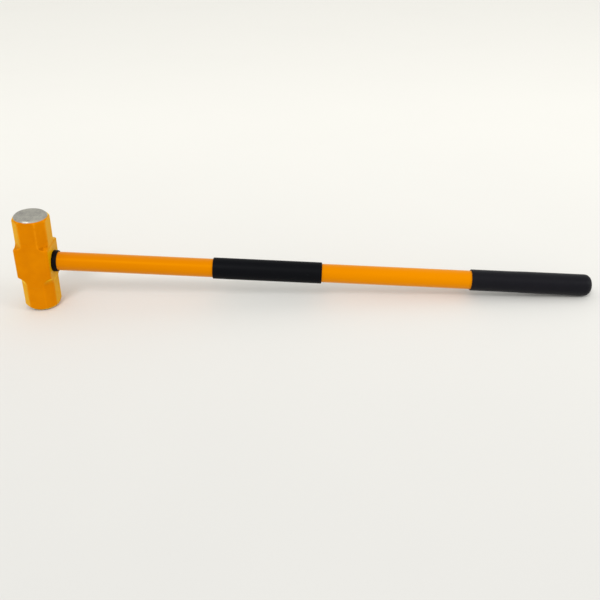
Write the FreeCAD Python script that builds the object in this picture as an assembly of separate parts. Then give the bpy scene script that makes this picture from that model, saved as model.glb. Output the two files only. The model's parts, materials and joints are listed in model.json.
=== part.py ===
import FreeCAD, Part
import math
import os

# A double-faced sledgehammer with a resin-bonded fibreglass handle, lying at rest.
# Every piece is drawn in the hammer's own axes: the origin at the middle of the eye,
# +X along the handle to the grip, +Z along the head. Then lay_down() turns the whole
# hammer to where it settles: on the rim of one striking face and the end of the grip.
# All sizes are in millimetres.

# overall
overall_length = 900.0          # far side of the eye to the end of the grip

# head: a forged bar with eight-sided striking ends and a proud block round the eye
head_length = 157.0
across_flats = 51.5             # of the striking ends, and of the cheeks
end_chamfer = 13.0              # leg of the long chamfers that make the ends eight-sided
face_bevel = 2.4                # turned bevel round each striking face, at 45 degrees
eye_boss = 0.8                  # how far each eye side stands proud of the flats
eye_block_height = 56.0         # along the head
shoulder_rise = 2.5             # slope from the eye block back to the flats
cheek_round = 4.5               # rounding of the four long corners of the eye block
# each chamfer curves out to the corner at its inner end, steeply on the upper half of the
# head and gently on the lower; the end is its height from the middle of the eye
upper_runout_radius = 9.0
upper_runout_end = 28.5
lower_runout_radius = 16.0
lower_runout_end = 20.5

# handle: a fibreglass rod with a moulded jacket
core_diameter = 23.0
core_recess = 0.5               # the rod stops this far inside the far side of the eye
jacket_wall = 3.2
end_cushion = 7.0               # rubber between the end of the rod and the closed grip end

# bond in the eye
resin_gap_side = 1.6            # resin beside the rod, towards the cheeks
resin_gap_head = 4.5            # resin beside the rod, along the head
eye_flare = 1.5                 # growth of the eye at its far side, so that the bond wedges
resin_recess = 1.0
dam_thickness = 3.0             # washer that holds the rod central and the wet resin in

# black mouldings on the handle
collar_wall = 2.2
collar_length = 7.5
middle_grip_wall = 2.05
middle_grip_start = 278.0       # from the middle of the eye
middle_grip_length = 171.0
end_grip_wall = 1.95
end_grip_length = 190.0
end_grip_swell = 0.4            # extra radius where the hand stops
swell_start = 55.0              # from the open end of the grip
swell_length = 35.0
grip_end_round = 10.5
grip_end_crown = 42.0           # radius of the shallow dome that closes the grip
mould_round = 1.2               # rounding at the open ends of the mouldings
most_round = 0.8                # of a moulding's wall, where the wall is thin

# worked out from the sizes above
half_head = head_length / 2
half_flats = across_flats / 2
eye_side = half_flats + eye_boss                 # x of the eye's handle side
handle_end = overall_length - eye_side           # x of the closed end of the grip
core_radius = core_diameter / 2
shaft_radius = core_radius + jacket_wall
core_end = handle_end - end_cushion
grip_radius = shaft_radius + end_grip_wall
grip_end_radius = grip_radius + end_grip_swell
end_grip_start = handle_end - end_grip_length
shoulder_top = eye_block_height / 2 + shoulder_rise
chamfer_depth = (across_flats - end_chamfer) / math.sqrt(2)      # from the head's axis
corner_depth = (half_flats + eye_side) / math.sqrt(2) - cheek_round * (math.sqrt(2) - 1)
face_radius = half_flats - face_bevel
clear_of_head = 2 * head_length                  # any length that reaches past the head

X_AXIS = FreeCAD.Vector(1, 0, 0)
Y_AXIS = FreeCAD.Vector(0, 1, 0)
Z_AXIS = FreeCAD.Vector(0, 0, 1)
ORIGIN = FreeCAD.Vector(0, 0, 0)


def point(x, y, z):
    return FreeCAD.Vector(x, y, z)


def prism(corners, along):
    """A solid with these corners as its end face, drawn out by a vector."""
    return Part.Face(Part.makePolygon(corners + corners[:1])).extrude(along)


def rod(radius, start, end):
    """A round bar along the handle, from one x to another."""
    return Part.makeCylinder(radius, end - start, point(start, 0, 0), X_AXIS)


def turned(edges):
    """A solid turned about the handle's axis from a closed outline in the XZ plane."""
    return Part.Face(Part.Wire(edges)).revolve(ORIGIN, X_AXIS, 360)


def square_bar(half_width):
    """A bar along the head with rounded corners, wide enough in X for the eye block."""
    bar = Part.makeBox(2 * half_width, across_flats, head_length, point(-half_width, -half_flats, -half_head))
    long_edges = [edge for edge in bar.Edges if abs(edge.tangentAt(edge.FirstParameter).z) > 0.5]
    return bar.makeFillet(cheek_round, long_edges)


def side_profile():
    """The head seen along Y: straight flats with the proud eye block and its sloped shoulders."""
    half_block = eye_block_height / 2
    upper_right = [
        point(eye_side, -half_flats, half_block),
        point(half_flats, -half_flats, shoulder_top),
        point(half_flats, -half_flats, half_head),
    ]
    upper_left = [point(-p.x, p.y, p.z) for p in reversed(upper_right)]
    lower_left = [point(p.x, p.y, -p.z) for p in reversed(upper_left)]
    lower_right = [point(-p.x, p.y, p.z) for p in reversed(lower_left)]
    return prism(upper_right + upper_left + lower_left + lower_right, Y_AXIS * across_flats)


def chamfer_cut(side_x, side_y, side_z, radius, runout_end):
    """What one long chamfer takes off a corner: a flat that curves out to the corner.

    It is drawn in the plane of the head's axis and the corner. `out` is the distance
    from the axis towards the corner: chamfer_depth on the flat, corner_depth at the
    rounded corner, where the curve ends.
    """
    to_corner = point(side_x, side_y, 0).normalize()
    across = Z_AXIS.cross(to_corner)
    rise = min(corner_depth - chamfer_depth, radius)
    drop = math.sqrt(radius ** 2 - (radius - rise) ** 2)
    curve_top = runout_end + drop

    def at(out, height):
        return to_corner * out + Z_AXIS * (side_z * height) - across * half_flats

    def on_curve(turn):
        out = chamfer_depth + radius * (1 - math.cos(turn))
        return at(out, curve_top - radius * math.sin(turn))

    full_turn = math.acos(1 - rise / radius)
    far_out = across_flats
    curve = Part.Arc(on_curve(0), on_curve(full_turn / 2), on_curve(full_turn)).toShape()
    outline = [
        curve,
        Part.makeLine(on_curve(full_turn), at(far_out, runout_end)),
        Part.makeLine(at(far_out, runout_end), at(far_out, clear_of_head)),
        Part.makeLine(at(far_out, clear_of_head), at(chamfer_depth, clear_of_head)),
        Part.makeLine(at(chamfer_depth, clear_of_head), on_curve(0)),
    ]
    return Part.Face(Part.Wire(outline)).extrude(across * across_flats)


def face_turning():
    """The round blank that a turned 45 degree bevel leaves at both striking faces."""
    widest = half_flats * math.sqrt(2)
    shoulder = half_head - (widest - face_radius)
    barrel = Part.makeCylinder(widest, 2 * shoulder, point(0, 0, -shoulder), Z_AXIS)
    top = Part.makeCone(widest, face_radius, half_head - shoulder, point(0, 0, shoulder), Z_AXIS)
    bottom = top.mirror(ORIGIN, Z_AXIS)
    return barrel.fuse([top, bottom])


def slot_wire(x, half_width, half_height):
    """A round-ended slot across the handle at one x, longest along the head."""
    straight = half_height - half_width
    top = Part.Arc(
        point(x, half_width, straight), point(x, 0, half_height), point(x, -half_width, straight)
    )
    bottom = Part.Arc(
        point(x, -half_width, -straight), point(x, 0, -half_height), point(x, half_width, -straight)
    )
    return Part.Wire([
        top.toShape(),
        Part.makeLine(point(x, -half_width, straight), point(x, -half_width, -straight)),
        bottom.toShape(),
        Part.makeLine(point(x, half_width, -straight), point(x, half_width, straight)),
    ])


def eye_space():
    """The tapered eye through the head, narrowest at the handle side."""
    half_width = core_radius + resin_gap_side
    half_height = core_radius + resin_gap_head
    return Part.makeLoft([
        slot_wire(-eye_side, half_width + eye_flare, half_height + eye_flare),
        slot_wire(eye_side, half_width, half_height),
    ], True, True)


def hammer_head():
    body = square_bar(eye_side).common(side_profile())
    body = body.common(face_turning())
    for side_x in (-1, 1):
        for side_y in (-1, 1):
            body = body.cut(chamfer_cut(side_x, side_y, 1, upper_runout_radius, upper_runout_end))
            body = body.cut(chamfer_cut(side_x, side_y, -1, lower_runout_radius, lower_runout_end))
    return body.cut(eye_space())


def handle_core():
    return rod(core_radius, core_recess - eye_side, core_end)


def resin_dam():
    slab_start = eye_side - dam_thickness
    return eye_space().common(rod(across_flats, slab_start, eye_side)).cut(handle_core())


def eye_resin():
    filled = rod(across_flats, resin_recess - eye_side, eye_side - dam_thickness)
    return eye_space().common(filled).cut(handle_core())


def handle_jacket():
    return rod(shaft_radius, eye_side, core_end).cut(rod(core_radius, eye_side, core_end))


def sleeve(start, end, wall, open_ends):
    """A moulded sleeve on the jacket, rounded on the outside at the x of each open end."""
    outside = rod(shaft_radius + wall, start, end)
    rims = [
        edge for edge in outside.Edges
        if len(edge.Vertexes) == 1 and any(abs(edge.CenterOfMass.x - x) < wall / 2 for x in open_ends)
    ]
    rounded = outside.makeFillet(min(mould_round, most_round * wall), rims)
    return rounded.cut(rod(shaft_radius, start, end))


def head_collar():
    end = eye_side + collar_length
    return sleeve(eye_side, end, collar_wall, [end])


def middle_grip():
    end = middle_grip_start + middle_grip_length
    return sleeve(middle_grip_start, end, middle_grip_wall, [middle_grip_start, end])


def closed_end(radius):
    """The arcs of a domed end: a rounded corner that runs into a shallow crown."""
    crown_centre = handle_end - grip_end_crown
    corner_height = radius - grip_end_round
    reach = grip_end_crown - grip_end_round
    corner_x = crown_centre + math.sqrt(reach ** 2 - corner_height ** 2)
    join_angle = math.asin(corner_height / reach)

    def on_corner(angle):
        return point(
            corner_x + grip_end_round * math.cos(angle), 0, corner_height + grip_end_round * math.sin(angle)
        )

    def on_crown(angle):
        return point(crown_centre + grip_end_crown * math.cos(angle), 0, grip_end_crown * math.sin(angle))

    half_way = (math.pi / 2 + join_angle) / 2
    corner = Part.Arc(on_corner(math.pi / 2), on_corner(half_way), on_corner(join_angle))
    crown = Part.Arc(on_crown(join_angle), on_crown(join_angle / 2), on_crown(0))
    return corner_x, [corner.toShape(), crown.toShape()]


def end_grip():
    """A sleeve that swells a little towards its closed, domed end."""
    open_round = min(mould_round, most_round * end_grip_wall)
    swell_from = end_grip_start + swell_start
    swell_to = swell_from + swell_length
    corner_x, end_arcs = closed_end(grip_end_radius)
    lip = Part.Arc(
        point(end_grip_start, 0, grip_radius - open_round),
        point(
            end_grip_start + open_round * (1 - math.cos(math.pi / 4)),
            0,
            grip_radius - open_round * (1 - math.sin(math.pi / 4)),
        ),
        point(end_grip_start + open_round, 0, grip_radius),
    )
    outside = turned([
        Part.makeLine(point(end_grip_start, 0, 0), point(end_grip_start, 0, grip_radius - open_round)),
        lip.toShape(),
        Part.makeLine(point(end_grip_start + open_round, 0, grip_radius), point(swell_from, 0, grip_radius)),
        Part.makeLine(point(swell_from, 0, grip_radius), point(swell_to, 0, grip_end_radius)),
        Part.makeLine(point(swell_to, 0, grip_end_radius), point(corner_x, 0, grip_end_radius)),
        *end_arcs,
        Part.makeLine(point(handle_end, 0, 0), point(end_grip_start, 0, 0)),
    ])
    return outside.cut(rod(shaft_radius, end_grip_start, core_end))


def lean_angle():
    """The lean at rest: a floor through the face's rim that just touches the grip's rounded end."""
    corner_x, _ = closed_end(grip_end_radius)
    run = corner_x - face_radius
    rise = half_head - (grip_end_radius - grip_end_round)
    return math.degrees(math.atan2(rise, run) - math.asin(grip_end_round / math.hypot(run, rise)))


def lay_down(pieces):
    """Turn the hammer to its lean, then stand it on z = 0, centred on x = 0."""
    lean = FreeCAD.Rotation(Y_AXIS, lean_angle())
    for piece in pieces.values():
        piece.Placement = FreeCAD.Placement(ORIGIN, lean).multiply(piece.Placement)
    box = Part.makeCompound(list(pieces.values())).optimalBoundingBox(False)
    floor = lean.multVec(point(face_radius, 0, -half_head)).z
    for piece in pieces.values():
        piece.translate(point(-box.Center.x, 0, -floor))


def main():
    pieces = {
        "hammer_head": hammer_head(),
        "handle_core": handle_core(),
        "resin_dam": resin_dam(),
        "eye_resin": eye_resin(),
        "handle_jacket": handle_jacket(),
        "head_collar": head_collar(),
        "middle_grip": middle_grip(),
        "end_grip": end_grip(),
    }
    lay_down(pieces)
    os.makedirs("parts", exist_ok=True)
    for name, shape in pieces.items():
        shape.exportStep(f"parts/{name}.step")


main()
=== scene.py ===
import json
import math

import bpy
import numpy as np
from mathutils import Matrix, Vector


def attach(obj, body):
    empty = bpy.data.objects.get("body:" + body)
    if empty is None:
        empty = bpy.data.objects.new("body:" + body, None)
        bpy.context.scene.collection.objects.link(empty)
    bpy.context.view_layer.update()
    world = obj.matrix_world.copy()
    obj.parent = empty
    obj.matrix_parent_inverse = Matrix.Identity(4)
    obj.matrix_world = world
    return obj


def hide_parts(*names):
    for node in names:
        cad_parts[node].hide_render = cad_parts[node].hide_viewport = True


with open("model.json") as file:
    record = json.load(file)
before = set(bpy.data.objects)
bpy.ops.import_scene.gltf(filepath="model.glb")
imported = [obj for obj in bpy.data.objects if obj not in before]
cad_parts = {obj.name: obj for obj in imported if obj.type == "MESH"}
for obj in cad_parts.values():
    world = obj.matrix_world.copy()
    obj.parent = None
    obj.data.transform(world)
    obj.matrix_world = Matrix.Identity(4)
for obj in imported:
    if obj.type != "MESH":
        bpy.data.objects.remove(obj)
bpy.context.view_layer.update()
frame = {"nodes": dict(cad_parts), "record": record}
print("frame loaded")

# The hammer's own axes, read from its mounts: along the handle, across it, along the head.
mounts = {mount["name"]: mount for mount in frame["record"]["mounts"]}
upperFace = np.array(mounts["upper_face"]["pos_m"])
lowerFace = np.array(mounts["lower_face"]["pos_m"])
eyeMiddle = (upperFace + lowerFace) / 2
headAxis = (upperFace - lowerFace) / np.linalg.norm(upperFace - lowerFace)
handleAxis = np.array(mounts["grip_end"]["axis"])
handleAxis -= headAxis * (handleAxis @ headAxis)
handleAxis /= np.linalg.norm(handleAxis)
hammerAxes = np.stack([handleAxis, np.cross(headAxis, handleAxis), headAxis])
lean = math.atan2(-handleAxis[2], handleAxis[0])


def toWorld(points):
    # eye middle plus each coordinate times its axis
    return eyeMiddle + np.asarray(points) @ hammerAxes


def nodeExtent(name):
    # lowest and highest corner of a CAD node in the hammer's own axes
    mesh = frame["nodes"][name].data
    points = np.empty(len(mesh.vertices) * 3)
    mesh.vertices.foreach_get("co", points)
    local = (points.reshape(-1, 3) - eyeMiddle) @ hammerAxes.T
    return local.min(0), local.max(0)


def gridPiece(name, points, loopRows=False, attributes=None):
    # A grid of points, rows by columns, whose columns always close round.
    # Rows close too when loopRows is set; otherwise a fan shuts each end on its middle point.
    rows, columns = points.shape[:2]
    row = np.arange(rows if loopRows else rows - 1)[:, None]
    column = np.arange(columns)[None, :]
    nextRow = (row + 1) % rows
    nextColumn = (column + 1) % columns
    quads = np.stack([
        row * columns + column, row * columns + nextColumn,
        nextRow * columns + nextColumn, nextRow * columns + column,
    ], -1).reshape(-1, 4)
    flat = points.reshape(-1, 3)
    faces = quads.tolist()
    if not loopRows:
        first, last = len(flat), len(flat) + 1
        flat = np.vstack([flat, points[0].mean(0), points[-1].mean(0)])
        around = np.arange(columns)
        after = (around + 1) % columns
        start = (rows - 1) * columns
        faces += np.stack([np.full(columns, first), after, around], -1).tolist()
        faces += np.stack([np.full(columns, last), start + around, start + after], -1).tolist()
    mesh = bpy.data.meshes.new(name)
    mesh.from_pydata(toWorld(flat).tolist(), [], faces)
    mesh.polygons.foreach_set("use_smooth", np.ones(len(mesh.polygons), bool))
    for key, values in (attributes or {}).items():
        layer = mesh.attributes.new(key, "FLOAT", "POINT")
        values = np.asarray(values, np.float32).ravel()
        padded = np.concatenate([values, np.full(len(flat) - len(values), values[-1], np.float32)])
        layer.data.foreach_set("value", padded)
    mesh.update()
    piece = bpy.data.objects.new(name, mesh)
    bpy.context.scene.collection.objects.link(piece)
    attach(piece, "root")
    return piece


def roundedOutline(corners, steps=8):
    # Straight runs between corners (x, r, rounding); each corner is an arc that both runs touch:
    # it starts rounding * tan(turn / 2) before the corner and its centre is on the bisector.
    places = [np.array(corner[:2]) for corner in corners]
    path = []
    for index, corner in enumerate(corners):
        rounding = corner[2]
        here, before, after = places[index], places[index - 1], places[(index + 1) % len(corners)]
        if rounding == 0:
            path.append(here[None, :])
            continue
        into = (here - before) / np.linalg.norm(here - before)
        out = (after - here) / np.linalg.norm(after - here)
        side = np.sign(into[0] * out[1] - into[1] * out[0])
        turn = math.acos(np.clip(into @ out, -1, 1))
        start = here - into * rounding * math.tan(turn / 2)
        centre = start + side * rounding * np.array([-into[1], into[0]])
        angles = np.linspace(0, side * turn, steps)[:, None]
        spoke = start - centre
        quarterTurned = np.array([-spoke[1], spoke[0]])
        path.append(centre + spoke * np.cos(angles) + quarterTurned * np.sin(angles))
    return np.vstack(path)


def denser(profile, step=0.004):
    # adds points so that no run of the profile is longer than step
    gaps = np.linalg.norm(np.diff(profile, axis=0), axis=1)
    along = np.concatenate([[0.0], np.cumsum(gaps)])
    cuts = [
        np.linspace(start, start + gap, max(2, math.ceil(gap / step) + 1))[:-1]
        for start, gap in zip(along, gaps)
    ]
    at = np.concatenate(cuts + [along[-1:]])
    return np.stack([np.interp(at, along, profile[:, 0]), np.interp(at, along, profile[:, 1])], -1)


def turnedPiece(name, profile, around=128, loopRows=True):
    # (x, r cos a, r sin a): an outline turned about the handle's axis
    angle = np.linspace(0, 2 * math.pi, around, endpoint=False)[None, :]
    x, r = profile[:, :1], profile[:, 1:]
    points = np.stack([x + 0 * angle, r * np.cos(angle), r * np.sin(angle)], -1)
    return gridPiece(name, points[::-1], loopRows)


class Signal:
    # a node's socket that can take part in Python sums
    def __init__(self, graph, socket):
        self.graph = graph
        self.socket = socket

    def sum(self, operation, first, second):
        return self.graph.add("ShaderNodeMath", {"operation": operation}, {0: first, 1: second})

    def __add__(self, other):
        return self.sum("ADD", self, other)

    def __radd__(self, other):
        return self.sum("ADD", other, self)

    def __sub__(self, other):
        return self.sum("SUBTRACT", self, other)

    def __rsub__(self, other):
        return self.sum("SUBTRACT", other, self)

    def __mul__(self, other):
        return self.sum("MULTIPLY", self, other)

    def __rmul__(self, other):
        return self.sum("MULTIPLY", other, self)

    def step(self, low, high):
        # 0 below low, 1 above high, an S between
        settings = {"interpolation_type": "SMOOTHSTEP"}
        sockets = {"Value": self, "From Min": low, "From Max": high}
        return self.graph.add("ShaderNodeMapRange", settings, sockets)


class Graph:
    # a material and the nodes in it
    def __init__(self, name):
        self.material = bpy.data.materials.new(name)
        self.material.use_nodes = True
        self.tree = self.material.node_tree
        self.tree.nodes.remove(self.tree.nodes["Principled BSDF"])
        self.output = self.tree.nodes["Material Output"]

    def add(self, kind, settings=None, sockets=None, output=0):
        # any node: its settings first, then the values or links of its sockets
        node = self.tree.nodes.new(kind)
        for key, value in (settings or {}).items():
            setattr(node, key, value)
        for key, value in (sockets or {}).items():
            self.feed(node.inputs[key], value)
        return Signal(self, node.outputs[output])

    def feed(self, socket, value):
        if isinstance(value, Signal):
            self.tree.links.new(value.socket, socket)
        elif socket.type == "RGBA":
            socket.default_value = (*value, 1)
        else:
            socket.default_value = value

    def layer(self, **sockets):
        # a Principled shader, whose sockets are named with _ for each space
        spaced = {key.replace("_", " "): value for key, value in sockets.items()}
        return self.add("ShaderNodeBsdfPrincipled", None, spaced)

    def finish(self, **sockets):
        return self.show(self.layer(**sockets))

    def mixed(self, amount, first, second):
        return self.show(self.add("ShaderNodeMixShader", None, {0: amount, 1: first, 2: second}))

    def show(self, shader):
        self.feed(self.output.inputs["Surface"], shader)
        return self.material

    def place(self):
        # where a point is in the hammer's own axes
        spot = self.add("ShaderNodeTexCoord", output="Object")
        spot = self.add("ShaderNodeVectorMath", {"operation": "SUBTRACT"}, {0: spot, 1: tuple(eyeMiddle)})
        sockets = {"Vector": spot, "Angle": -lean}
        return self.add("ShaderNodeVectorRotate", {"rotation_type": "Y_AXIS"}, sockets)

    def mark(self, name):
        # a number that the mesh carries at each of its points
        return self.add("ShaderNodeAttribute", {"attribute_name": name}, output="Fac")

    def stretched(self, spot, factors):
        # a factor below 1 draws the pattern out along that axis
        return self.add("ShaderNodeVectorMath", {"operation": "MULTIPLY"}, {0: spot, 1: factors})

    def noise(self, spot, scale, detail, roughness):
        sockets = {"Vector": spot, "Scale": scale, "Detail": detail, "Roughness": roughness}
        return self.add("ShaderNodeTexNoise", None, sockets)

    def blend(self, amount, first, second):
        # the first colour where amount is 0, the second where it is 1
        settings = {"data_type": "RGBA", "clamp_factor": True}
        return self.add("ShaderNodeMix", settings, {0: amount, 6: first, 7: second}, 2)

    def bump(self, height, distance, strength):
        sockets = {"Height": height, "Distance": distance, "Strength": strength}
        return self.add("ShaderNodeBump", None, sockets)


def sRgb(red, green, blue):
    # display colour 0 to 255 to linear light, by the sRGB curve
    values = np.array([red, green, blue]) / 255
    return tuple(np.where(values <= 0.04045, values / 12.92, ((values + 0.055) / 1.055) ** 2.4))


headShape = {
    "chamferLeg": 0.0130,       # of the long chamfers that make the ends eight-sided
    "faceBevel": 0.0024,        # turned at 45 degrees round each face
    "blockHeight": 0.0560,
    "shoulderRise": 0.0025,
    "cornerRound": 0.0042,      # softening of the eye block's long corners
    "chamferSoft": 0.0018,
    "bevelSoft": 0.0005,
    "rimRound": 0.0006,
    "upperRunout": (0.0090, 0.0285),    # radius, and where it meets the corner
    "lowerRunout": (0.0160, 0.0205),
    "endRecess": 0.00035,       # the flats of the ends lie this far below the cheeks
    "recessRun": (0.005, 0.009),        # past the shoulder, where that drop starts and is complete
    "furthestReach": 0.06,      # more than any point of the head is from its anchor
    "halvings": 34,
}
headGrid = {
    "fanMiddle": 0.0160,        # where the fans of columns round the corners start
    "fanColumns": 22,
    "patchRings": 30,           # square rings of the grid round the eye
    "patchTop": 0.0240,
    "endTop": 0.0420,           # rows are wider up to here
    "bevelFoot": 0.0065,        # rows are close from here up, below the face
    "lastRow": 0.0020,          # below the face; turned rings take over
    "endRows": (24, 34, 15),
    "rimSteps": 6,
    "faceRings": 16,
    "faceMiddle": 0.0012,
}
eyeShape = {
    "eyeWidth": 0.0146,         # half, at the far side
    "eyeHeight": 0.0175,
    "boreDepth": 0.0080,
    "floorRing": 14,            # of the grid's square rings: inside it is the bore's floor
    "rimRing": 20,              # on the eye's rim
    "floorShare": 0.985,        # of the rim's size
    "gathering": 1.6,           # how the rings crowd towards the rim
    "lipDepths": (0.0012, 0.00050, 0.00016, 0.00002, 0),    # ring by ring over the rim
}
headWearAndShade = {
    "bareBevel": 0.0020,        # how far down the upper bevel the paint has gone
    "faceZone": 0.0040,         # only this near a face is anything bare
    "painted": -0.0030,         # the mark of a point that is far from bare metal
    "waveFade": 0.0020,
    "waviness": 0.00007,
    "edgeReach": 0.0011,
    "lowerEdges": 0.25,         # share on the lower half of the paler edge paint, which is worn paint and a painted highlight
    "halvesMeet": -0.015,
    "hollowShadeRun": (0.001, 0.003, 0.006),  # painted shade in the run-outs: full, fading and gone, by the depth of a run-out's curve
}
waveShares = (0.6, 0.4)
# radians per metre along x, y and z, and the phase
forgeWaves = [(210, 95, 0, 1.3), (0, -120, 160, 0.4), (0, 260, -90, 2.1), (330, 0, 240, 0)]


def softMax(a, b, radius):
    # the larger value; where the two are within radius it is lifted by radius / 4 at most
    near = np.maximum(radius - np.abs(a - b), 0) / radius
    return np.maximum(a, b) + radius / 4 * near ** 2


def headField(x, y, z, size):
    # Below 0 inside the forging: the largest of the distances past its flats,
    # chamfers and turned bevel, with each edge softened.
    s = headShape
    height = np.abs(z)
    shoulder = s["blockHeight"] / 2 + s["shoulderRise"]
    boss = size["eyeBoss"] * (1 - smoothStep(height, s["blockHeight"] / 2, shoulder))
    radius, runoutEnd = [np.where(z > 0, up, low) for up, low in zip(s["upperRunout"], s["lowerRunout"])]
    recessStart, recessEnd = s["recessRun"]
    recess = s["endRecess"] * smoothStep(height, shoulder + recessStart, shoulder + recessEnd)
    flatX = np.abs(x) - size["halfFlats"] - boss
    flatY = np.abs(y) - size["halfFlats"] + recess
    # the chamfer's plane curves out on an arc, and then straight on, to the block's corner
    depth = (2 * size["halfFlats"] - s["chamferLeg"]) / math.sqrt(2)
    sharpCorner = (size["halfFlats"] + size["eyeBoss"] / 2) * math.sqrt(2)
    cornerDepth = sharpCorner - s["cornerRound"] * (math.sqrt(2) - 1)
    rise = np.minimum(cornerDepth - depth, radius)
    drop = np.sqrt(radius ** 2 - (radius - rise) ** 2)
    below = np.maximum(runoutEnd + drop - height, 0)
    onArc = np.minimum(below, drop)
    curve = radius - np.sqrt(radius ** 2 - onArc ** 2)
    curve = curve + (below - onArc) * drop / (radius - rise)
    chamfer = (np.abs(x) + np.abs(y)) / math.sqrt(2) - depth - curve
    bevel = (np.hypot(x, y) + height - size["faceRadius"] - size["halfHead"]) / math.sqrt(2)
    body = softMax(softMax(flatX, flatY, s["cornerRound"]), chamfer, s["chamferSoft"])
    return softMax(body, bevel, s["bevelSoft"]), np.maximum(flatX, flatY), chamfer, curve


def smoothStep(value, low, high):
    # t * t * (3 - 2t), where t goes from 0 at low to 1 at high
    t = np.clip((value - low) / (high - low), 0, 1)
    return t * t * (3 - 2 * t)


def surfaceReach(anchorX, anchorY, directionX, directionY, z, size):
    # how far along each direction the field turns positive, by halving
    near = np.zeros(np.broadcast(anchorX, z).shape)
    far = near + headShape["furthestReach"]
    for _ in range(headShape["halvings"]):
        middle = (near + far) / 2
        outside = headField(anchorX + middle * directionX, anchorY + middle * directionY, z, size)[0] > 0
        far = np.where(outside, middle, far)
        near = np.where(outside, near, middle)
    return (near + far) / 2


def waves(x, y, z):
    # two products of crossing sines, between -1 and 1, that leave the hand of the forge on the flats
    one, two, three, four = [
        np.sin(x * alongX + y * alongY + z * alongZ + phase)
        for alongX, alongY, alongZ, phase in forgeWaves
    ]
    return waveShares[0] * one * two + waveShares[1] * three * four


def headColumns():
    # Where each column starts and which way it goes: straight across a side, then a fan
    # round the corner's middle, and that quarter turned by 0, 90, 180 and 270 degrees.
    middle = headGrid["fanMiddle"]
    across = np.linspace(-middle, middle, 2 * headGrid["patchRings"] + 1)[:-1]
    fan = np.linspace(0, math.pi / 2, headGrid["fanColumns"] + 1)[:-1]
    startX = np.full(len(across) + len(fan), middle)
    startX[:len(across)] = 0
    startY = np.concatenate([across, np.full(len(fan), middle)])
    wayX = np.concatenate([1 + 0 * across, np.cos(fan)])
    wayY = np.concatenate([0 * across, np.sin(fan)])
    turns = [(1, 0), (0, 1), (-1, 0), (0, -1)]
    columns = np.hstack([
        np.stack([
            startX * cosine - startY * sine, startX * sine + startY * cosine,
            wayX * cosine - wayY * sine, wayX * sine + wayY * cosine,
        ]) for cosine, sine in turns
    ])
    return columns, len(startX)


def faceRings(x, y, size):
    # turned rings from the bevel's last row over the rounded rim to the middle of a face:
    # (r cos a, r sin a, height), with a the column's own angle
    angle = np.arctan2(y, x)
    rim = headShape["rimRound"]
    bend = np.linspace(math.pi / 4, math.pi / 2, headGrid["rimSteps"])
    arcMiddle = size["faceRadius"] - rim * math.tan(math.pi / 8)
    inward = np.linspace(arcMiddle, headGrid["faceMiddle"], headGrid["faceRings"])[1:]
    radius = np.concatenate([arcMiddle + rim * np.cos(bend), inward])[:, None]
    drop = np.concatenate([rim - rim * np.sin(bend), 0 * inward])[:, None]
    height = size["halfHead"] - drop + 0 * angle
    return np.stack([radius * np.cos(angle), radius * np.sin(angle), height], -1)


def makeHead():
    high = nodeExtent("hammer_head")[1]
    halfFlats = high[1]
    size = {
        "halfFlats": halfFlats,
        "eyeBoss": high[0] - halfFlats,
        "halfHead": np.linalg.norm(upperFace - lowerFace) / 2,
        "faceRadius": halfFlats - headShape["faceBevel"],
    }
    (startX, startY, wayX, wayY), quarterColumns = headColumns()
    # rows: even over the eye block, wider on the ends, close at the bevel
    bevelFoot = size["halfHead"] - headGrid["bevelFoot"]
    stops = [headGrid["patchTop"], headGrid["endTop"], bevelFoot, size["halfHead"] - headGrid["lastRow"]]
    endRows = np.concatenate([
        np.linspace(start, stop, count)[1:]
        for start, stop, count in zip(stops, stops[1:], headGrid["endRows"])
    ])
    eyeRows = np.linspace(-headGrid["patchTop"], headGrid["patchTop"], 2 * headGrid["patchRings"] + 1)
    z = np.concatenate([-endRows[::-1], eyeRows, endRows])[:, None]
    reach = surfaceReach(startX, startY, wayX, wayY, z, size)
    x, y = startX + reach * wayX, startY + reach * wayY
    z = z + 0 * x
    sinkEye(x, y, z, size, quarterColumns, len(endRows))
    top = faceRings(x[-1], y[-1], size)
    points = np.concatenate([top[::-1] * [1, 1, -1], np.stack([x, y, z], -1), top])

    # bare metal inside a circle: part way down the upper bevel, and the lower face alone
    wear = headWearAndShade
    bareRadius = size["faceRadius"] + np.where(points[..., 2] > 0, wear["bareBevel"], 0)
    inside = bareRadius - np.hypot(points[..., 0], points[..., 1])
    nearFace = np.abs(points[..., 2]) > size["halfHead"] - wear["faceZone"]
    ground = np.where(nearFace, np.maximum(inside, wear["painted"]), wear["painted"])
    # forge marks fade out on the ground faces
    wave = waves(points[..., 0], points[..., 1], points[..., 2]) * wear["waviness"]
    wave *= 1 - smoothStep(ground, -wear["waveFade"], 0)
    outward = points * [1, 1, 0]
    outward /= np.maximum(np.linalg.norm(outward, axis=-1, keepdims=True), 1e-6)
    points = points + outward * wave[..., None]
    # how near a chamfer's edge, 1 to 0 over a millimetre (for the worn, paler edges that carry a painted
    # highlight), and how far into a run-out's hollow (for the painted shade there)
    _, flat, chamfer, curve = headField(*np.moveaxis(points, -1, 0), size)
    upper = smoothStep(points[..., 2], wear["halvesMeet"], 0)
    edge = np.exp(-((flat - chamfer) / wear["edgeReach"]) ** 2) * (ground < 0)
    edge = edge * (wear["lowerEdges"] + (1 - wear["lowerEdges"]) * upper)
    full, fading, gone = wear["hollowShadeRun"]
    hollow = (chamfer > flat) * smoothStep(curve, 0, full) * (1 - smoothStep(curve, fading, gone)) * upper
    marks = {"ground": ground * 1000, "edge": edge, "hollow": hollow}
    piece = gridPiece("headForging", points, attributes=marks)
    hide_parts("hammer_head")
    return piece


def obround(directionY, directionZ, width, height):
    # How far from the middle a direction meets a round-ended slot: its straight sides
    # at width / |y|, and past them the circle round the end.
    straight = height - width
    side = width / np.maximum(np.abs(directionY), 1e-9)
    end = np.sqrt(np.maximum(width ** 2 - (straight * directionY) ** 2, 0)) + straight * np.abs(directionZ)
    return np.where(side * np.abs(directionZ) <= straight, side, end)


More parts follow.
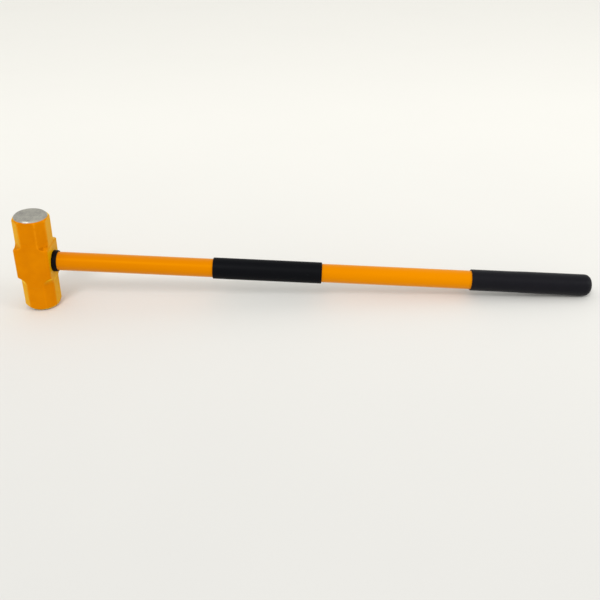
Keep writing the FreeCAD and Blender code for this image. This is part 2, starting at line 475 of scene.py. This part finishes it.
def sinkEye(x, y, z, size, quarterColumns, firstRow):
    # Square rings of the grid on the far side are drawn to the eye's rim and down its bore:
    # outside rimRing they blend from slot to square, inside it they go down the wall.
    s = eyeShape
    half, rimRing, floorRing = headGrid["patchRings"], s["rimRing"], s["floorRing"]
    index = np.arange(-half, half + 1)
    down, across = np.meshgrid(index, index, indexing="ij")
    ring = np.maximum(np.abs(across), np.abs(down))
    safe = np.maximum(ring, 1)
    squareY = headGrid["fanMiddle"] * across / safe
    squareZ = headGrid["patchTop"] * down / safe
    length = np.maximum(np.hypot(squareY, squareZ), 1e-9)
    rimReach = obround(squareY / length, squareZ / length, s["eyeWidth"], s["eyeHeight"])
    outward = np.clip((ring - rimRing) / (half - rimRing), 0, 1) ** s["gathering"]
    share = np.interp(ring, [0, floorRing, rimRing], [0, s["floorShare"], 1])
    reach = np.where(ring >= rimRing, rimReach + (length - rimReach) * outward, rimReach * share)
    lipRings = rimRing - 1 + np.arange(len(s["lipDepths"]))
    depth = np.interp(ring, [0, floorRing, *lipRings], [s["boreDepth"], s["boreDepth"], *s["lipDepths"]])
    newY, newZ = squareY / length * reach, squareZ / length * reach
    newX = surfaceReach(0 * newY, newY, 1 + 0 * newY, 0 * newY, newZ, size) - depth
    rows = slice(firstRow, firstRow + 2 * half + 1)
    columns = slice(2 * quarterColumns, 2 * quarterColumns + 2 * half + 1)
    x[rows, columns], y[rows, columns], z[rows, columns] = -newX, -newY, newZ


headLook = {
    "paint": sRgb(226, 135, 0),
    "paintDeep": sRgb(206, 115, 0),
    "paintThinAndHighlight": sRgb(246, 158, 24),    # along the edges: thinner paint and a painted highlight
    "paintHollowShade": sRgb(172, 92, 0),     # painted shade in the hollows where the chamfers run out
    "paintGlint": (1.0, 0.42, 0.0),
    "paintSheen": (1.0, 0.86, 0.0),
    "paintRoughness": 0.32,
    "cloudRoughness": 0.10,             # added where the cloud is full
    "paintGloss": 0.06,
    "sheenAmount": 1.0,
    "sheenRoughness": 0.45,
    "toneMiddle": 0.35,                 # of the cloud, where the two tones start to mix
    "toneGain": 1.4,
    "thinningAndHighlight": 0.32,
    "hollowShading": 0.8,
    "raggedness": 0.5,                  # of the line where the paint stops, in millimetres
    "bareEdge": (-0.12, 0.10),
    "steel": (0.50, 0.49, 0.42),
    "steelDark": (0.26, 0.25, 0.235),
    "steelRoughness": 0.30,
    "streakRoughness": 0.25,
    "wornShares": (0.5, 0.6),           # of the streaks and the smears
    "bumpShares": (0.35, 0.65, 0.25),   # of the peel, the lumps and the streaks
    "bumpStrength": 0.5,
    "bumpDepth": 0.00025,
    # patterns: scale, detail and roughness of the noise, and where a mask of it starts and ends
    "ragged": (900, 3, 0.6),
    "cloud": (34, 3, 0.55),
    "edgeBreaks": (160, 3, 0.6),
    "edgeBreakRange": (0.30, 0.55),
    "hollowShadeNoise": (120, 4, 0.6),
    "hollowShadeRange": (0.36, 0.60),
    "streaks": (1500, 3, 0.65),         # grinding marks, drawn out across the handle
    "streakDraw": (1, 0.07, 1),
    "smears": (70, 4, 0.6),
    "steelRange": (0.35, 0.75),
    "peel": (700, 2, 0.5),              # the paint's fine skin
    "lumps": (130, 3, 0.5),             # the forging under it
}


def headFinish():
    # Enamel and bare steel as two layers, mixed by the mesh's ground mark with a ragged edge.
    # The paint is two clouded tones, paler on the edges, where it is worn and carries a painted highlight,
    # and browner in the hollows as painted shade.
    look = headLook
    g = Graph("headEnamel")
    spot = g.place()
    ragged = g.noise(spot, *look["ragged"])
    bare = (g.mark("ground") + (ragged - 0.5) * look["raggedness"]).step(*look["bareEdge"])
    cloud = g.noise(spot, *look["cloud"])
    tone = (cloud - look["toneMiddle"]) * look["toneGain"]
    paint = g.blend(tone, look["paintDeep"], look["paint"])
    # paler edges: partly worn paint, partly a painted highlight, mostly on the upper half
    edgeBreakup = g.noise(spot, *look["edgeBreaks"]).step(*look["edgeBreakRange"])
    paint = g.blend(g.mark("edge") * look["thinningAndHighlight"] * edgeBreakup, paint, look["paintThinAndHighlight"])
    # painted shade: the hollows of the upper run-outs are darkened, broken up by noise
    hollowShaded = g.noise(spot, *look["hollowShadeNoise"]).step(*look["hollowShadeRange"])
    paint = g.blend(g.mark("hollow") * hollowShaded * look["hollowShading"], paint, look["paintHollowShade"])
    streak = g.noise(g.stretched(spot, look["streakDraw"]), *look["streaks"])
    smear = g.noise(spot, *look["smears"])
    streakShare, smearShare = look["wornShares"]
    worn = (streak * streakShare + smear * smearShare).step(*look["steelRange"])
    steel = g.blend(worn, look["steelDark"], look["steel"])
    peel = g.noise(spot, *look["peel"])
    lumps = g.noise(spot, *look["lumps"])
    peelShare, lumpShare, grindShare = look["bumpShares"]
    height = (peel * peelShare + lumps * lumpShare) * (1 - bare) + streak * grindShare * bare
    normal = g.bump(height, look["bumpDepth"], look["bumpStrength"])
    enamel = g.layer(
        Base_Color=paint,
        Roughness=look["paintRoughness"] + cloud * look["cloudRoughness"],
        Specular_IOR_Level=look["paintGloss"],
        Specular_Tint=look["paintGlint"],
        Sheen_Weight=look["sheenAmount"],
        Sheen_Roughness=look["sheenRoughness"],
        Sheen_Tint=look["paintSheen"],
        Normal=normal,
    )
    metal = g.layer(
        Base_Color=steel,
        Metallic=1.0,
        Roughness=look["steelRoughness"] + streak * look["streakRoughness"],
        Normal=normal,
    )
    return g.mixed(bare, enamel, metal)


head = makeHead()
head.data.materials.append(headFinish())
print("head made")

coreRadius = nodeExtent("handle_core")[1][1]
shaftRadius = nodeExtent("handle_jacket")[1][1]

jacketShape = {"bore": coreRadius, "nearRound": 0.0004, "farRound": 0.0004, "lipRound": 0}
collarShape = {"bore": shaftRadius, "nearRound": 0.0004, "farRound": 0.0014, "lipRound": 0.0004}
middleShape = {"bore": shaftRadius, "nearRound": 0.0012, "farRound": 0.0012, "lipRound": 0.0004}


def makeSleeve(name, node, shape):
    # a tube's wall as a closed outline, turned: out along the near end, along the outside, back in
    low, high = nodeExtent(node)
    outer = high[1]
    outline = roundedOutline([
        (low[0], shape["bore"], shape["lipRound"]),
        (low[0], outer, shape["nearRound"]),
        (high[0], outer, shape["farRound"]),
        (high[0], shape["bore"], shape["lipRound"]),
    ])
    outline = np.vstack([outline, outline[:1]])
    piece = turnedPiece(name, denser(outline)[:-1])
    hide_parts(node)
    return piece


shaft = makeSleeve("shaftJacket", "handle_jacket", jacketShape)
collar = makeSleeve("collarRing", "head_collar", collarShape)
middleGrip = makeSleeve("middleSleeve", "middle_grip", middleShape)

gripShape = {
    "edgeRound": 0.0012,
    "lipRound": 0.0004,
    "swell": 0.0004,            # extra radius, from here on
    "swellStart": 0.055,
    "swellLength": 0.035,
    "endRound": 0.0105,
    "endCrown": 0.042,          # radius of the shallow dome
    "cushion": 0.007,           # rubber past the end of the jacket
    "axisHole": 0.0003,         # radius of the hole on the axis that a fan of faces closes
    "mouthShare": 1.5,          # of the edge's rounding, where the straight run starts
    "runSteps": 60,
    "cornerSteps": 16,
    "domeSteps": 12,
}


def makeEndGrip():
    # outside: straight, a gentle S to the swell, straight, then a round corner into a shallow dome
    s = gripShape
    low, high = nodeExtent("end_grip")
    endRadius = high[1]
    startRadius = endRadius - s["swell"]
    corner = endRadius - s["endRound"]
    reach = s["endCrown"] - s["endRound"]
    crownMiddle = high[0] - s["endCrown"]
    cornerX = crownMiddle + math.sqrt(reach ** 2 - corner ** 2)
    join = math.asin(corner / reach)
    bend = np.linspace(math.pi / 2, join, s["cornerSteps"])
    dome = np.linspace(join, 0, s["domeSteps"])[1:]
    run = np.linspace(low[0] + s["edgeRound"] * s["mouthShare"], cornerX, s["runSteps"])[:-1]
    swellStart = low[0] + s["swellStart"]
    swell = startRadius + s["swell"] * smoothStep(run, swellStart, swellStart + s["swellLength"])
    mouth = roundedOutline([
        (low[0], shaftRadius, s["lipRound"]),
        (low[0], startRadius, s["edgeRound"]),
        (run[0], startRadius, 0),
    ])
    outside = np.vstack([
        mouth[:-1],
        np.stack([run, swell], -1),
        np.stack([cornerX + s["endRound"] * np.cos(bend), corner + s["endRound"] * np.sin(bend)], -1),
        np.stack([crownMiddle + s["endCrown"] * np.cos(dome), s["endCrown"] * np.sin(dome)], -1),
    ])
    outside[-1, 1] = s["axisHole"]
    floor = high[0] - s["cushion"]
    inside = np.array([
        [floor, s["axisHole"]],
        [floor, shaftRadius],
        [low[0] + s["lipRound"], shaftRadius],
    ])
    piece = turnedPiece("endSleeve", denser(np.vstack([inside, outside])), loopRows=False)
    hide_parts("end_grip")
    return piece


endGrip = makeEndGrip()

rodShape = {"edgeRound": 0.0003, "axisHole": 0.0004, "step": 0.01}


def makeCore():
    # a turned bar: from the axis out, along the rod and back to the axis
    low, high = nodeExtent("handle_core")
    outline = roundedOutline([
        (low[0], rodShape["axisHole"], 0),
        (low[0], coreRadius, rodShape["edgeRound"]),
        (high[0], coreRadius, rodShape["edgeRound"]),
        (high[0], rodShape["axisHole"], 0),
    ])
    piece = turnedPiece("coreRod", denser(outline, rodShape["step"]), loopRows=False)
    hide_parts("handle_core")
    return piece


core = makeCore()

bondShape = {
    "sag": 0.0009,              # of the free surface below the cheek, at the rod and at the eye
    "middleSag": 0.0007,        # more than that, half way
    "foot": 0.004,              # where the ring's straight walls start
    "backGap": 0.0002,          # short of the bore's floor
    "sideGap": 0.0001,
    "around": 160,
    "acrossSteps": 15,
}


def makeBond():
    # A closed ring between the rod's circle and the eye's slot: each point is a blend
    # between the two outlines, and the free surface sags between them.
    s = bondShape
    face = -nodeExtent("hammer_head")[1][0]
    angle = np.linspace(0, 2 * math.pi, s["around"], endpoint=False)[None, :]
    across = np.linspace(0, 1, s["acrossSteps"])
    sag = s["sag"] + s["middleSag"] * (1 - (2 * across - 1) ** 4)
    back = eyeShape["boreDepth"] - s["backGap"]
    share = np.concatenate([across, [1, 1, 0.5, 0, 0]])[:, None]
    depth = np.concatenate([sag, [s["foot"], back, back, back, s["foot"]]])[:, None]
    width, height = eyeShape["eyeWidth"] - s["sideGap"], eyeShape["eyeHeight"] - s["sideGap"]
    rim = obround(np.cos(angle), np.sin(angle), width, height)
    radius = coreRadius + (rim - coreRadius) * share
    points = np.stack([face + depth + 0 * radius, radius * np.cos(angle), radius * np.sin(angle)], -1)
    piece = gridPiece("eyeBond", points[::-1], loopRows=True)
    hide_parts("eye_resin")
    return piece


bond = makeBond()
print("handle made")

jacketLook = {
    "nearHeadToneAndShade": sRgb(206, 118, 0),
    "nearGripToneAndLight": sRgb(223, 134, 0),
    "fade": (0.05, 0.75),       # where along the handle one turns to the other: painted shade near the head, lighter towards the grip
    "scuff": sRgb(206, 116, 16),
    "scuffing": 0.18,
    "toneShares": (0.5, 0.6),   # of the cloud and of the place along the handle, the second being painted shade
    "gloss": 0.20,
    "glint": (1.0, 0.55, 0.0),
    "sheen": (1.0, 0.80, 0.0),
    "sheenAmount": 0.45,
    "sheenRoughness": 0.35,
    "roughness": 0.27,
    "cloudRoughness": 0.08,
    "scuffRoughness": 0.10,
    "bumpStrength": 0.35,
    "bumpDepth": 0.0002,
    "cloud": (45, 3, 0.55),
    "cloudDraw": (0.12, 1, 1),
    "fine": (900, 2, 0.5),      # the mould's lengthwise polish
    "fineDraw": (0.05, 1, 1),
    "scuffs": (260, 5, 0.7),
    "scuffDraw": (0.3, 1, 1),
    "scuffRange": (0.60, 0.74),
}


def jacketFinish():
    # two tones by cloud and by place along the handle, the second a painted shade that darkens towards the
    # head, with marks drawn out lengthwise
    look = jacketLook
    g = Graph("jacketPlastic")
    spot = g.place()
    cloud = g.noise(g.stretched(spot, look["cloudDraw"]), *look["cloud"])
    along = g.add("ShaderNodeSeparateXYZ", None, {0: spot}).step(*look["fade"])
    cloudShare, alongShare = look["toneShares"]
    # painted shade: the handle is darker towards the head and lighter towards the grip
    colour = g.blend(cloud * cloudShare + along * alongShare, look["nearHeadToneAndShade"], look["nearGripToneAndLight"])
    fine = g.noise(g.stretched(spot, look["fineDraw"]), *look["fine"])
    scuffs = g.noise(g.stretched(spot, look["scuffDraw"]), *look["scuffs"]).step(*look["scuffRange"])
    return g.finish(
        Base_Color=g.blend(scuffs * look["scuffing"], colour, look["scuff"]),
        Roughness=look["roughness"] + cloud * look["cloudRoughness"] + scuffs * look["scuffRoughness"],
        Specular_IOR_Level=look["gloss"],
        Specular_Tint=look["glint"],
        Sheen_Weight=look["sheenAmount"],
        Sheen_Roughness=look["sheenRoughness"],
        Sheen_Tint=look["sheen"],
        Normal=g.bump(fine * 0.5 + cloud * 0.5, look["bumpDepth"], look["bumpStrength"]),
    )


collarLook = {
    "dark": (0.0020, 0.0020, 0.0026),
    "light": (0.004, 0.004, 0.005),
    "gloss": 0.06,
    "roughness": 0.42,
    "grain": (900, 3, 0.55),
    "grainDepth": 0.0001,
}
middleLook = {
    "dark": (0.0018, 0.0020, 0.0030),
    "light": (0.0038, 0.0042, 0.0058),
    "gloss": 0.05,
    "roughness": 0.42,
    "grain": (1100, 3, 0.55),
    "grainDepth": 0.00008,
}
gripLook = {
    "dark": (0.0022, 0.0021, 0.0044),
    "light": (0.0056, 0.0054, 0.0086),
    "gloss": 0.12,
    "roughness": 0.36,
    "grain": (1500, 3, 0.55),
    "grainDepth": 0.00030,
}
rubberLook = {                  # shared by the three mouldings
    "cloud": (40, 3, 0.6),
    "cloudRoughness": 0.10,
    "dust": (180, 5, 0.7),
    "dustDraw": (0.4, 1, 1),
    "dustRange": (0.58, 0.75),
    "dustColour": (0.10, 0.10, 0.10),
    "dustAmount": 0.04,
    "dustRoughness": 0.06,
    "bumpStrength": 0.6,
}


def rubberFinish(name, look):
    # two dark tones by cloud and by grain, a bump of the same grain, and a little dust
    shared = rubberLook
    g = Graph(name)
    spot = g.place()
    cloud = g.noise(spot, *shared["cloud"])
    pebble = g.noise(spot, *look["grain"])
    dust = g.noise(g.stretched(spot, shared["dustDraw"]), *shared["dust"]).step(*shared["dustRange"])
    colour = g.blend(cloud * 0.5 + pebble * 0.5, look["dark"], look["light"])
    return g.finish(
        Base_Color=g.blend(dust * shared["dustAmount"], colour, shared["dustColour"]),
        Roughness=look["roughness"] + cloud * shared["cloudRoughness"] + dust * shared["dustRoughness"],
        Specular_IOR_Level=look["gloss"],
        Normal=g.bump(pebble, look["grainDepth"], shared["bumpStrength"]),
    )


bondLook = {
    "dark": sRgb(112, 78, 34),
    "light": sRgb(158, 116, 56),
    "roughness": 0.22,
    "cloudRoughness": 0.2,
    "coat": 0.3,
    "cloud": (160, 4, 0.6),
    "bubbles": 620.0,
    "bubbleRange": (0.08, 0.22),
    "pitDepth": 0.5,            # against the cloud's height
    "bumpStrength": 0.5,
    "bumpDepth": 0.0004,
}


def resinFinish():
    # two clouded browns, with a pit at the middle of each cell where a bubble broke
    look = bondLook
    g = Graph("castResin")
    spot = g.place()
    cloud = g.noise(spot, *look["cloud"])
    bubbles = g.add("ShaderNodeTexVoronoi", {"feature": "F1"}, {"Vector": spot, "Scale": look["bubbles"]})
    pit = 1 - bubbles.step(*look["bubbleRange"])
    return g.finish(
        Base_Color=g.blend(cloud, look["dark"], look["light"]),
        Roughness=look["roughness"] + cloud * look["cloudRoughness"],
        Coat_Weight=look["coat"],
        Normal=g.bump(cloud - pit * look["pitDepth"], look["bumpDepth"], look["bumpStrength"]),
    )


rodLook = {
    "fibre": sRgb(222, 208, 160),
    "binder": sRgb(170, 148, 92),
    "tint": sRgb(196, 176, 118),
    "fibres": 1400.0,
    "fibreDraw": (0.02, 1, 1),
    "fibreRange": (0.15, 0.55),
    "cloud": (240, 3, 0.6),
    "cloudDraw": (0.03, 1, 1),
    "tinting": 0.6,
    "roughness": 0.55,
    "cloudRoughness": 0.15,
    "bumpStrength": 0.5,
    "bumpDepth": 0.0003,
}


def fibreFinish():
    # cells drawn out along the rod: each is a bundle of fibres, with binder between
    look = rodLook
    g = Graph("fibreRod")
    spot = g.place()
    sockets = {"Vector": g.stretched(spot, look["fibreDraw"]), "Scale": look["fibres"]}
    ends = g.add("ShaderNodeTexVoronoi", {"feature": "F1"}, sockets)
    cloud = g.noise(g.stretched(spot, look["cloudDraw"]), *look["cloud"])
    fibres = g.blend(ends.step(*look["fibreRange"]), look["fibre"], look["binder"])
    return g.finish(
        Base_Color=g.blend(cloud * look["tinting"], fibres, look["tint"]),
        Roughness=look["roughness"] + cloud * look["cloudRoughness"],
        Normal=g.bump(ends, look["bumpDepth"], look["bumpStrength"]),
    )


damLook = {
    "dark": sRgb(206, 202, 190),
    "light": sRgb(222, 219, 208),
    "roughness": 0.45,
    "cloudRoughness": 0.1,
    "cloud": (220, 3, 0.5),
    "bumpStrength": 0.4,
    "bumpDepth": 0.0002,
}


def nylonFinish():
    # two clouded off-whites
    look = damLook
    g = Graph("damNylon")
    spot = g.place()
    cloud = g.noise(spot, *look["cloud"])
    return g.finish(
        Base_Color=g.blend(cloud, look["dark"], look["light"]),
        Roughness=look["roughness"] + cloud * look["cloudRoughness"],
        Normal=g.bump(cloud, look["bumpDepth"], look["bumpStrength"]),
    )


shaft.data.materials.append(jacketFinish())
collar.data.materials.append(rubberFinish("collarRubber", collarLook))
middleGrip.data.materials.append(rubberFinish("middleRubber", middleLook))
endGrip.data.materials.append(rubberFinish("endRubber", gripLook))
bond.data.materials.append(resinFinish())
core.data.materials.append(fibreFinish())
dam = frame["nodes"]["resin_dam"]
dam.data.materials.clear()
dam.data.materials.append(nylonFinish())
print("finishes made")

studio = {
    "floorHalf": 9.0,
    "floorNearShaded": (0.66, 0.655, 0.635),
    "floorFarLit": (0.88, 0.87, 0.825),
    "floorFade": (-0.9, 1.1),
    "floorCloud": (3, 2, 0.5),
    "floorMottle": 0.1,
    "floorRoughness": 0.8,
    "floorGloss": 0.1,
    "keyPower": 88.0,
    "keySize": 1.5,
    "keyPlace": (-1.2, -3.3, 4.2),
    "fillPower": 19.0,
    "fillSize": 1.2,
    "fillPlace": (2.6, -1.0, 1.7),
    "worldColour": (1.0, 0.995, 0.975),
    "worldStrength": 0.88,
}
view = {
    "place": (0.41687, -1.04175, 0.59804),   # from the eye's middle, in the hammer's axes
    "pitch": 0.5579,
    "roll": 0.0462,
    "lens": 45.65,
    "sensor": 36.0,
    "clipEnd": 50,
}


def makeFloor():
    # one square of paper with painted shade: a little darker in front of the hammer than behind it
    half = studio["floorHalf"]
    mesh = bpy.data.meshes.new("floor")
    corners = [(-half, -half, 0), (half, -half, 0), (half, half, 0), (-half, half, 0)]
    mesh.from_pydata(corners, [], [(0, 1, 2, 3)])
    floor = bpy.data.objects.new("floor", mesh)
    bpy.context.scene.collection.objects.link(floor)
    g = Graph("floorPaper")
    spot = g.add("ShaderNodeTexCoord", output="Object")
    cloud = g.noise(spot, *studio["floorCloud"])
    depth = g.add("ShaderNodeSeparateXYZ", None, {0: spot}, 1)
    # painted shade: the floor darkens towards the front
    fade = depth.step(*studio["floorFade"]) + (cloud - 0.5) * studio["floorMottle"]
    mesh.materials.append(g.finish(
        Base_Color=g.blend(fade, studio["floorNearShaded"], studio["floorFarLit"]),
        Roughness=studio["floorRoughness"],
        Specular_IOR_Level=studio["floorGloss"],
    ))


def areaLight(name, place, power, size):
    # a round light that looks at the middle of the floor
    lamp = bpy.data.lights.new(name, "AREA")
    lamp.shape = "DISK"
    lamp.size = size
    lamp.energy = power
    item = bpy.data.objects.new(name, lamp)
    bpy.context.scene.collection.objects.link(item)
    turn = (-Vector(place)).to_track_quat("-Z", "Y").to_matrix().to_4x4()
    item.matrix_world = Matrix.Translation(place) @ turn


def makeCamera():
    # level looking across the handle, pitched down, then rolled about its own axis
    pitch, roll = view["pitch"], view["roll"]
    forward = np.array([0, math.cos(pitch), -math.sin(pitch)])
    right = np.array([1.0, 0, 0])
    up = np.cross(right, forward)
    turned = np.stack([
        right * math.cos(roll) + up * math.sin(roll),
        up * math.cos(roll) - right * math.sin(roll),
        -forward,
    ]) @ hammerAxes
    data = bpy.data.cameras.new("camera")
    data.sensor_width = view["sensor"]
    data.lens = view["lens"]
    data.clip_end = view["clipEnd"]
    camera = bpy.data.objects.new("camera", data)
    bpy.context.scene.collection.objects.link(camera)
    camera.matrix_world = Matrix.Translation(toWorld(view["place"])) @ Matrix(turned.T.tolist()).to_4x4()
    bpy.context.scene.camera = camera


def makeWorld():
    # even light from all round
    world = bpy.data.worlds.new("studio")
    world.use_nodes = True
    sockets = world.node_tree.nodes["Background"].inputs
    sockets["Color"].default_value = (*studio["worldColour"], 1)
    sockets["Strength"].default_value = studio["worldStrength"]
    bpy.context.scene.world = world


makeFloor()
areaLight("keyLight", studio["keyPlace"], studio["keyPower"], studio["keySize"])
areaLight("fillLight", studio["fillPlace"], studio["fillPower"], studio["fillSize"])
makeWorld()
bpy.context.scene.view_settings.view_transform = "Standard"
makeCamera()
print("stage made")
